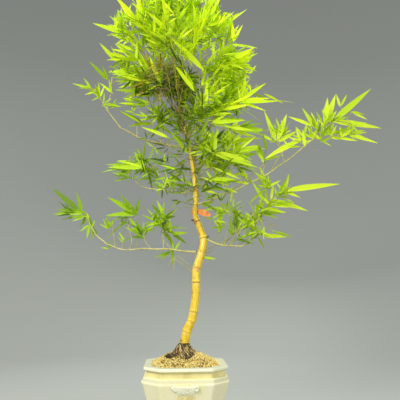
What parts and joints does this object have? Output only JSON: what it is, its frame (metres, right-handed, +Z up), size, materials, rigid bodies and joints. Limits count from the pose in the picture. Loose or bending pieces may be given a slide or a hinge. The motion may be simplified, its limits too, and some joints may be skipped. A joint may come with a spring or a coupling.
{
  "type": "potted bamboo",
  "caption": "Golden-stemmed bamboo with a curved culm, spreading side boughs and a leafy crown, in a cream chamfered square pot filled with grit.",
  "frame": {"origin": "middle of the pot's flat underside", "axes": "+Z up, +X to the right across the pot's front face, +Y to its back"},
  "size_m": [1.0516, 0.4826, 1.5292],
  "materials": {
    "pot": "matt cream cast pot with a moulded lip and relief",
    "grit": "loose tan grit, rough",
    "culm": "smooth golden-yellow culm with brown node rings and ochre flecks",
    "bough": "thin straw to yellow-green stems, satin",
    "root": "dark fibrous root wood, rough",
    "leaf": "bright green lance-shaped leaves, satin",
    "tape": "plain orange tying tape"
  },
  "bodies": {
    "root": {"bough_crown_low_left": "bough", "bough_crown_right": "bough", "bough_crown_right_back": "bough", "bough_crown_right_low": "bough", "bough_left_low": "bough", "bough_left_low_rise": "bough", "bough_left_middle": "bough", "bough_left_upper": "bough", "bough_left_upper_rise": "bough", "bough_middle_front": "bough", "bough_middle_right": "bough", "bough_right_lower": "bough", "bough_right_lower_rise": "bough", "bough_right_upper": "bough", "crown_back": "leaf", "crown_front": "leaf", "crown_heart": "leaf", "crown_left": "leaf", "crown_left_back": "leaf", "crown_low_left": "leaf", "crown_low_right": "leaf", "crown_peak": "leaf", "crown_right": "leaf", "crown_right_back": "leaf", "crown_right_low": "leaf", "crown_upper_left": "leaf", "crown_upper_right": "leaf", "culm": "culm", "grit": "grit", "left_low_inner": "leaf", "left_low_middle": "leaf", "left_low_outer": "leaf", "left_middle": "leaf", "left_tip": "leaf", "middle_front": "leaf", "middle_left": "leaf", "middle_right": "leaf", "pot": "pot", "right_lower_inner": "leaf", "right_lower_low": "leaf", "right_lower_middle": "leaf", "right_lower_outer": "leaf", "right_upper_middle": "leaf", "right_upper_outer": "leaf", "root_knuckle": "root", "stem_back": "bough", "stem_centre": "bough", "stem_front": "bough", "stem_left": "bough", "stem_left_back": "bough", "stem_right": "bough", "tape": "tape", "twig_crown_right": "bough", "twig_left_low_inner": "bough", "twig_left_low_middle": "bough", "twig_left_upper": "bough", "twig_middle_left": "bough", "twig_right_lower_inner": "bough", "twig_right_lower_middle": "bough", "twig_right_upper": "bough"}
  },
  "joints": []
}
